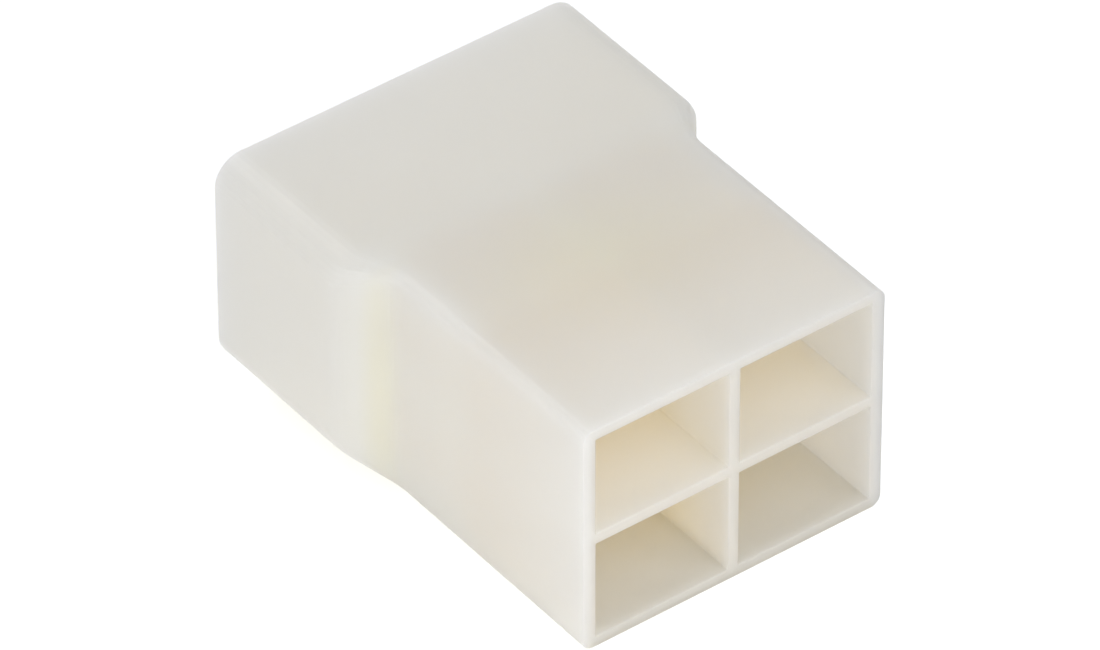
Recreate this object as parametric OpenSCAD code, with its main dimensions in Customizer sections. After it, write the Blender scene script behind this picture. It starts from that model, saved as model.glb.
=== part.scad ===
// Four-way plug housing for 6.3 mm blade terminals, moulded in one piece.
// The narrow body takes the crimped wires at its front face, in four cells.
// The wide hood behind it surrounds the blades and receives the mating housing.
// X runs across, Y runs from the wire face to the hood mouth, and Z runs up
// from the underside of the narrow body. The origin is under the middle.

/* [Narrow body] */
// Width of the narrow body
body_w = 18.2; // [17.8:0.1:20.4]
// Height of the narrow body
body_h = 13.7; // [13.3:0.1:14.4]
// Length of the narrow body, from the wire face to the start of the shoulder
body_l = 14.3; // [13:0.1:18]
// Radius of the long edges of the narrow body
body_edge_r = 0.6; // [0.3:0.05:1]

/* [Hood] */
// Width of the hood
hood_w = 22.1; // [21:0.1:26]
// Height of the hood, measured down from the flush top
hood_h = 12.65; // [12.2:0.05:13.1]
// Length of the straight part of the hood, behind the shoulder
hood_l = 9.3; // [7:0.1:14]
// Radius of the long edges of the hood
hood_edge_r = 1.6; // [1:0.05:2.2]
// Wall thickness of the hood
hood_wall = 1; // [0.8:0.05:1.4]
// How far the hood reaches inside, past its straight part
hood_reach = 0.3; // [0:0.05:0.5]
// Widening of the hood mouth on each side
lead_in = 0.35; // [0.1:0.05:0.6]
// Depth of the widened mouth
lead_in_l = 0.7; // [0.3:0.1:2]

/* [Shoulder] */
// Angle between the shoulder and the long axis
shoulder_angle = 38; // [25:1:55]
// Radius of the two bends where the shoulder meets body and hood
shoulder_r = 1.6; // [0.8:0.1:3]

/* [Wire cells] */
// Thickness of the side walls beside the cells
side_wall = 0.75; // [0.55:0.05:0.9]
// Thickness of the walls above and below the cells
cell_wall = 0.65; // [0.5:0.05:0.75]
// Thickness of the webs between the cells at the wire face
web = 0.65; // [0.5:0.05:0.8]
// Depth of the roomy front part of each cell
cell_depth = 9; // [6:0.1:11]
// Draft of the cell walls, in degrees
cell_draft = 0.4; // [0:0.1:0.6]
// Length of the ramp that leads the terminal on into its chamber
ramp_l = 1.6; // [0.8:0.1:2.4]

/* [Terminal chambers] */
// Width of the chamber that holds the body of the terminal
chamber_w = 6.9; // [6.8:0.1:7.7]
// Height of the chamber
chamber_h = 4.2; // [4.1:0.1:4.4]
// Distance between the centres of the upper and lower chambers
chamber_pitch = 6.2; // [6.1:0.1:6.8]
// Thickness of the hood floor that the blades pass through
floor_t = 1.6; // [1.2:0.1:2.4]

/* [Blade slots] */
// Width of the slot for the blade
slot_w = 6.6; // [6.4:0.05:6.75]
// Height of the slot
slot_h = 1.6; // [1.2:0.1:2]
// Width of the opening beside the slot that frees the locking tongue
release_w = 3.4; // [2.5:0.1:4.5]
// Height of that opening
release_h = 1.5; // [1:0.1:1.8]

/* [Hidden] */
// Overrun of a cut past the face that it opens
eps = 0.02;
// Facets in a quarter turn of a long edge, and steps along one shoulder bend
edge_steps = 8;
bend_steps = 6;

// The shoulder is a bend, a straight ramp and a bend back
step_out = (hood_w - body_w) / 2;
step_up = body_h - hood_h;
bend_a = min(shoulder_angle, acos(1 - step_out / (2 * shoulder_r)));
bend_l = shoulder_r * sin(bend_a);
bend_out = shoulder_r * (1 - cos(bend_a));
slope_l = (step_out - 2 * bend_out) / tan(bend_a);
shoulder_l = 2 * bend_l + slope_l;

// Places along Y
front_y = -(body_l + shoulder_l + hood_l) / 2;
shoulder_y = front_y + body_l;
hood_y = shoulder_y + shoulder_l;
back_y = hood_y + hood_l;
floor_y = hood_y - hood_reach;
chamber_end_y = floor_y - floor_t;
cell_end_y = front_y + cell_depth;
chamber_y = cell_end_y + ramp_l;

// Cells at the wire face, two across and two high
cell_w = (body_w - 2 * side_wall - web) / 2;
cell_h = (body_h - 2 * cell_wall - web) / 2;
cell_x = (cell_w + web) / 2;
cell_pitch = cell_h + web;
cell_shrink = cell_depth * tan(cell_draft);
// The chambers are centred on the hood, which sits higher than the body
body_mid_z = body_h / 2;
hood_mid_z = body_h - hood_h / 2;

// Inside of the hood
inner_w = hood_w - 2 * hood_wall;
inner_low_z = step_up + hood_wall;
inner_high_z = body_h - hood_wall;
inner_r = max(hood_edge_r - hood_wall, 0.3);

// How far the side has stepped out, at a distance t along the shoulder
function stepped_out(t) =
    t < bend_l ? shoulder_r - sqrt(shoulder_r ^ 2 - t ^ 2) :
    t < bend_l + slope_l ? bend_out + (t - bend_l) * tan(bend_a) :
    step_out - shoulder_r + sqrt(max(shoulder_r ^ 2 - (shoulder_l - t) ^ 2, 0));

// Rounded rectangle from z0 up to z1, as the list of its points
function rounded(w, z0, z1, r) = [
    for (q = [0:3]) for (i = [0:edge_steps])
        let (a = 90 * (q + i / edge_steps),
             cx = (q == 0 || q == 3 ? 1 : -1) * (w / 2 - r),
             cz = q < 2 ? z1 - r : z0 + r)
        [cx + r * cos(a), cz + r * sin(a)]
];

// Outline of the housing at a distance t along the shoulder
function outline(t) =
    let (out = stepped_out(t), k = out / step_out)
    rounded(body_w + 2 * out, k * step_up, body_h,
        body_edge_r + k * (hood_edge_r - body_edge_r));

// Solid skinned over a list of [y, outline] stations, outlines with equal counts
module loft(stations) {
    n = len(stations[0][1]);
    last = len(stations) - 1;
    points = [for (s = stations) for (p = s[1]) [p[0], s[0], p[1]]];
    sides = [for (k = [0:last - 1]) for (i = [0:n - 1])
        let (j = (i + 1) % n)
        [k * n + i, k * n + j, (k + 1) * n + j, (k + 1) * n + i]];
    front = [for (i = [n - 1:-1:0]) i];
    back = [for (i = [0:n - 1]) last * n + i];
    polyhedron(points, concat(sides, [front, back]), convexity = 4);
}

module outer_form() {
    bend = [for (i = [0:bend_steps]) bend_l * i / bend_steps];
    bend_back = [for (i = [bend_steps:-1:0]) shoulder_l - bend[i]];
    loft(concat(
        [[front_y, outline(0)]],
        [for (t = concat(bend, bend_back)) [shoulder_y + t, outline(t)]],
        [[back_y, outline(shoulder_l)]]));
}

// Space inside the hood, with its widened mouth
module hood_space() {
    straight = rounded(inner_w, inner_low_z, inner_high_z, inner_r);
    mouth = rounded(inner_w + 2 * lead_in, inner_low_z - lead_in,
        inner_high_z + lead_in, inner_r + lead_in);
    loft([[floor_y, straight], [back_y - lead_in_l, straight],
        [back_y, mouth], [back_y + eps, mouth]]);
}

// Long profile of a cell and its chamber, about centre lines c0 and c1
function cell_profile(c0, c1, cell, chamber) = [
    [front_y - eps, c0 - cell / 2],
    [front_y, c0 - cell / 2],
    [cell_end_y, c0 - cell / 2 + cell_shrink],
    [chamber_y, c1 - chamber / 2],
    [chamber_end_y, c1 - chamber / 2],
    [chamber_end_y, c1 + chamber / 2],
    [chamber_y, c1 + chamber / 2],
    [cell_end_y, c0 + cell / 2 - cell_shrink],
    [front_y, c0 + cell / 2],
    [front_y - eps, c0 + cell / 2]
];

// Space of one terminal: its cell and chamber. The row is -1 below and 1 above
module cell_space(row) {
    cell_z = body_mid_z + row * cell_pitch / 2;
    chamber_z = hood_mid_z + row * chamber_pitch / 2;
    intersection() {
        rotate([90, 0, 90]) linear_extrude(cell_w + 2, center = true)
            polygon(cell_profile(cell_z, chamber_z, cell_h, chamber_h));
        mirror([1, -1, 0]) linear_extrude(body_h)
            polygon(cell_profile(0, 0, cell_w, chamber_w));
    }
    slot_space(row, chamber_z);
}

// Way through the hood floor: the blade's slot, with the opening for the tongue
module slot_space(row, chamber_z) {
    slot_z = chamber_z - row * release_h / 2;
    release_z = slot_z + row * (slot_h + release_h) / 2;
    mid_y = (chamber_end_y + floor_y) / 2;
    through = floor_t + 2 * eps;
    translate([0, mid_y, slot_z]) cube([slot_w, through, slot_h], center = true);
    translate([0, mid_y, release_z - row * eps])
        cube([release_w, through, release_h + 2 * eps], center = true);
}

module housing() {
    color([0.87, 0.86, 0.82]) difference() {
        outer_form();
        hood_space();
        for (side = [-1, 1]) for (row = [-1, 1])
            translate([side * cell_x, 0, 0]) cell_space(row);
    }
}

housing();
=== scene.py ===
import math

import bpy
from mathutils import Matrix, Vector

MM = 0.001

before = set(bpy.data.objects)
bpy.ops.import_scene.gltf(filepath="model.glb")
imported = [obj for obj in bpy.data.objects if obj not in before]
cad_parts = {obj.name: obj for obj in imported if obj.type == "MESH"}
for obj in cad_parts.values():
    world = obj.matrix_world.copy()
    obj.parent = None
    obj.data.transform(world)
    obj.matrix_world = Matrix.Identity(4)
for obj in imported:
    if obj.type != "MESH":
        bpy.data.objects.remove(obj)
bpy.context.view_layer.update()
scene = bpy.context.scene

# Camera: where it looks, from which side, and how far it stands
CAMERA_AZIMUTH = -37.0
CAMERA_ELEVATION = 39.99
CAMERA_ROLL = -0.1
CAMERA_DISTANCE = 544.1 * MM
CAMERA_LENS = 366.5
SENSOR_WIDTH = 36.0
LOOK_AT = Vector((0.0, -2.993, 6.85)) * MM
LOOK_RIGHT = -2.459 * MM
LOOK_UP = 1.540 * MM

# Middle of the part, where the lamps aim
AIM = Vector((0.0, 0.0, 7.0)) * MM

# Places painted warmer, as middle and radii in millimetres: where the cells narrow
# to the chambers, the far ends of the lower cells, and the two sides of the shoulder.
# The warm tint is partly the nylon's own yellowing where the moulding is thick, and partly painted
# light:
# the yellow that light gains on long paths through thick nylon and between the cell walls.
PAINTED_WARM_PLACES = [
    ((-0.5, -3.6, 8.0), (5.2, 3.6, 7.5)),
    ((0.0, -7.5, 2.6), (5.0, 2.6, 2.6)),
    ((-12.0, 1.9, 6.0), (2.4, 0.6, 9.0)),
    ((12.0, 1.9, 6.0), (2.4, 0.6, 9.0)),
]

# The floor lies a hair below the part, so that the two faces never coincide
FLOOR_Z = -0.03 * MM

# Glow of the floor and of the world: what lights the part, and what makes them look white
FLOOR_GLOW, FLOOR_SHOWN = 0.035, 0.5
WORLD_GLOW, WORLD_SHOWN = 0.14, 1.0

# Soft boxes: name, azimuth, elevation, distance and size in metres, watts. The two near ones
# light the cells from the left, and their light falls off to the right.
SOFTBOXES = [
    ("left_lamp", -100, 10, 0.5, 0.35, 0.87),
    ("back_lamp", 180, 35, 0.5, 0.35, 1.09),
    ("right_lamp", 95, 30, 0.5, 0.35, 0.14),
    ("front_lamp", 25, 45, 0.6, 0.4, 1.0),
    ("near_left_lamp", -40, 20, 0.07, 0.05, 0.0084),
    ("near_lamp", -10, 15, 0.07, 0.05, 0.0075),
]

# Fine radius on the moulded edges. Two of them fit on the narrowest strip, 0.15 mm wide,
# between a blade slot and its chamber.
EDGE_RADIUS = 0.06 * MM


def direction(azimuth, elevation):
    """Unit vector from the object towards a place at that azimuth and elevation, in degrees."""
    a, e = math.radians(azimuth), math.radians(elevation)
    return Vector((math.sin(a) * math.cos(e), -math.cos(a) * math.cos(e), math.sin(e)))


def make_camera():
    """Camera at the photograph's viewing angle."""
    back = direction(CAMERA_AZIMUTH, CAMERA_ELEVATION)
    right = (-back).cross(Vector((0, 0, 1))).normalized()
    up = right.cross(-back)
    roll = math.radians(CAMERA_ROLL)
    rolled_right = right * math.cos(roll) + up * math.sin(roll)
    rolled_up = up * math.cos(roll) - right * math.sin(roll)
    target = LOOK_AT + rolled_right * LOOK_RIGHT + rolled_up * LOOK_UP
    data = bpy.data.cameras.new("camera")
    data.lens = CAMERA_LENS
    data.sensor_width = SENSOR_WIDTH
    data.clip_start, data.clip_end = 0.02, 5.0
    camera = bpy.data.objects.new("camera", data)
    scene.collection.objects.link(camera)
    place = Matrix((rolled_right, rolled_up, back)).transposed().to_4x4()
    place.translation = target + back * CAMERA_DISTANCE
    camera.matrix_world = place
    scene.camera = camera


class Nodes:
    """Short way to write a node tree."""

    def __init__(self, tree):
        self.tree = tree
        tree.nodes.clear()

    def add(self, kind, **settings):
        node = self.tree.nodes.new(kind)
        for name, value in settings.items():
            setattr(node, name, value)
        return node

    def link(self, source, target):
        self.tree.links.new(source, target)


def noise(nodes, where, scale, detail=2.0):
    """Noise at a scale in features per metre."""
    node = nodes.add("ShaderNodeTexNoise")
    node.inputs["Scale"].default_value = scale
    node.inputs["Detail"].default_value = detail
    nodes.link(where, node.inputs["Vector"])
    return node.outputs["Fac"]


def remap(nodes, value, low, high):
    """Takes a value from 0..1 to low..high."""
    node = nodes.add("ShaderNodeMapRange")
    node.inputs["To Min"].default_value = low
    node.inputs["To Max"].default_value = high
    nodes.link(value, node.inputs["Value"])
    return node.outputs["Result"]


def painted_warm_place(n, where, middle, radii):
    """Mask of the painted warm tint: 1 within an ellipsoid of the object's space, falling smoothly
    to 0 outside it.
    """
    from_middle = n.add("ShaderNodeVectorMath", operation="SUBTRACT")
    n.link(where, from_middle.inputs[0])
    from_middle.inputs[1].default_value = [v * MM for v in middle]
    in_radii = n.add("ShaderNodeVectorMath", operation="DIVIDE")
    n.link(from_middle.outputs["Vector"], in_radii.inputs[0])
    in_radii.inputs[1].default_value = [v * MM for v in radii]
    reach = n.add("ShaderNodeVectorMath", operation="LENGTH")
    n.link(in_radii.outputs["Vector"], reach.inputs[0])
    fade = n.add("ShaderNodeMapRange", interpolation_type="SMOOTHSTEP")
    n.link(reach.outputs["Value"], fade.inputs["Value"])
    fade.inputs["From Min"].default_value = 0.3
    fade.inputs["From Max"].default_value = 2.0
    fade.inputs["To Min"].default_value = 1.0
    fade.inputs["To Max"].default_value = 0.0
    return fade.outputs["Result"]


def nylon_material():
    """Natural nylon: milky, with light passing through its thin walls, and a warm tint painted by
    position, partly painted light, in its thick places and deep in its cells.
    """
    material = bpy.data.materials.new("nylon")
    material.use_nodes = True
    n = Nodes(material.node_tree)
    out = n.add("ShaderNodeOutputMaterial")
    shader = n.add("ShaderNodeBsdfPrincipled")
    n.link(shader.outputs["BSDF"], out.inputs["Surface"])
    where = n.add("ShaderNodeTexCoord").outputs["Object"]

    # Slow, faint change of tint, as in any natural batch
    cloud = noise(n, where, 140.0, 3.0)
    tint = n.add("ShaderNodeMix", data_type="RGBA")
    n.link(cloud, tint.inputs["Factor"])
    tint.inputs["A"].default_value = (0.962, 0.931, 0.840, 1)
    tint.inputs["B"].default_value = (0.976, 0.947, 0.864, 1)

    # Painted warm tint: partly the nylon's own yellowing in its thick places, partly painted
    # light, the yellow that light gains on long paths through thick nylon and deep in the cells
    painted_warmth = None
    for middle, radii in PAINTED_WARM_PLACES:
        place = painted_warm_place(n, where, middle, radii)
        if painted_warmth is None:
            painted_warmth = place
            continue
        either = n.add("ShaderNodeMath", operation="MAXIMUM")
        n.link(painted_warmth, either.inputs[0])
        n.link(place, either.inputs[1])
        painted_warmth = either.outputs[0]
    painted_warm_mix = n.add("ShaderNodeMix", data_type="RGBA")
    n.link(painted_warmth, painted_warm_mix.inputs["Factor"])
    n.link(tint.outputs["Result"], painted_warm_mix.inputs["A"])
    painted_warm_mix.inputs["B"].default_value = (0.978, 0.893, 0.710, 1)
    n.link(painted_warm_mix.outputs["Result"], shader.inputs["Base Color"])

    shader.subsurface_method = "RANDOM_WALK"
    shader.inputs["Subsurface Weight"].default_value = 1.0
    shader.inputs["Subsurface Radius"].default_value = (1.0, 1.0, 1.0)
    shader.inputs["Subsurface Scale"].default_value = 4.0 * MM
    shader.inputs["IOR"].default_value = 1.53
    shader.inputs["Specular IOR Level"].default_value = 0.35

    # Satin moulded skin
    grain = noise(n, where, 9000.0, 2.0)
    n.link(remap(n, noise(n, where, 700.0, 3.0), 0.40, 0.50), shader.inputs["Roughness"])
    bump = n.add("ShaderNodeBump")
    bump.inputs["Strength"].default_value = 0.12
    bump.inputs["Distance"].default_value = 0.02 * MM
    n.link(grain, bump.inputs["Height"])
    n.link(bump.outputs["Normal"], shader.inputs["Normal"])
    return material


def finish_housing(material):
    """Gives the moulded part its material and a fine radius on each sharp edge."""
    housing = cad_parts["housing"]
    for slot in housing.material_slots:
        slot.material = material
    if not housing.material_slots:
        housing.data.materials.append(material)
    weld = housing.modifiers.new("weld", "WELD")
    weld.merge_threshold = 0.001 * MM
    planar = housing.modifiers.new("planar", "DECIMATE")
    planar.decimate_type = "DISSOLVE"
    planar.angle_limit = math.radians(1.0)
    bevel = housing.modifiers.new("edges", "BEVEL")
    bevel.width = EDGE_RADIUS
    bevel.segments = 3
    bevel.limit_method = "ANGLE"
    bevel.angle_limit = math.radians(35.0)
    bevel.miter_outer = "MITER_SHARP"
    bevel.use_clamp_overlap = True
    bevel.harden_normals = False
    return housing


def shade_smooth_by_angle(piece, degrees):
    """Smooth shading with sharp edges above an angle, as a modifier that leaves the mesh as is."""
    with bpy.context.temp_override(object=piece, active_object=piece, selected_objects=[piece]):
        bpy.ops.object.shade_auto_smooth(angle=math.radians(degrees))


def seen_directly(n):
    """1 where the camera, a reflection or clear material looks, and 0 where light bounces."""
    path = n.add("ShaderNodeLightPath")
    total = path.outputs["Is Camera Ray"]
    for name in ("Is Glossy Ray", "Is Transmission Ray"):
        either = n.add("ShaderNodeMath", operation="MAXIMUM")
        n.link(total, either.inputs[0])
        n.link(path.outputs[name], either.inputs[1])
        total = either.outputs[0]
    return total


def make_floor(glow_strength, shown):
    """Plain pale floor that looks white to the camera and keeps the object's soft shadow."""
    bpy.ops.mesh.primitive_plane_add(size=2.0, location=(0, 0, FLOOR_Z))
    floor = bpy.context.object
    floor.name = "floor"
    material = bpy.data.materials.new("floor")
    material.use_nodes = True
    n = Nodes(material.node_tree)
    out = n.add("ShaderNodeOutputMaterial")
    diffuse = n.add("ShaderNodeBsdfDiffuse")
    diffuse.inputs["Color"].default_value = (0.92, 0.92, 0.92, 1)
    glow = n.add("ShaderNodeEmission")
    n.link(remap(n, seen_directly(n), glow_strength, shown), glow.inputs["Strength"])
    both = n.add("ShaderNodeAddShader")
    n.link(diffuse.outputs[0], both.inputs[0])
    n.link(glow.outputs[0], both.inputs[1])
    n.link(both.outputs[0], out.inputs["Surface"])
    floor.data.materials.append(material)


def make_world(glow, shown):
    """White world, which lights the part less than it shows."""
    world = bpy.data.worlds.new("world")
    scene.world = world
    world.use_nodes = True
    n = Nodes(world.node_tree)
    out = n.add("ShaderNodeOutputWorld")
    background = n.add("ShaderNodeBackground")
    background.inputs["Color"].default_value = (1, 1, 1, 1)
    n.link(remap(n, seen_directly(n), glow, shown), background.inputs["Strength"])
    n.link(background.outputs[0], out.inputs["Surface"])


def softbox(name, azimuth, elevation, distance, size, watts):
    """Square area lamp aimed at the middle of the part, unseen by the camera."""
    data = bpy.data.lights.new(name, "AREA")
    data.shape = "SQUARE"
    data.size = size
    data.energy = watts
    lamp = bpy.data.objects.new(name, data)
    scene.collection.objects.link(lamp)
    lamp.visible_camera = False
    towards = direction(azimuth, elevation)
    lamp.location = AIM + towards * distance
    lamp.rotation_mode = "QUATERNION"
    lamp.rotation_quaternion = towards.to_track_quat("Z", "Y")


make_camera()
make_floor(FLOOR_GLOW, FLOOR_SHOWN)
make_world(WORLD_GLOW, WORLD_SHOWN)
for name, azimuth, elevation, distance, size, watts in SOFTBOXES:
    softbox(name, azimuth, elevation, distance, size, watts)

nylon = nylon_material()
part = finish_housing(nylon)
shade_smooth_by_angle(part, 40)

scene.view_settings.view_transform = "Standard"
# Light bounces many times between the pale walls of a cell
scene.cycles.max_bounces = 24
scene.cycles.diffuse_bounces = 16
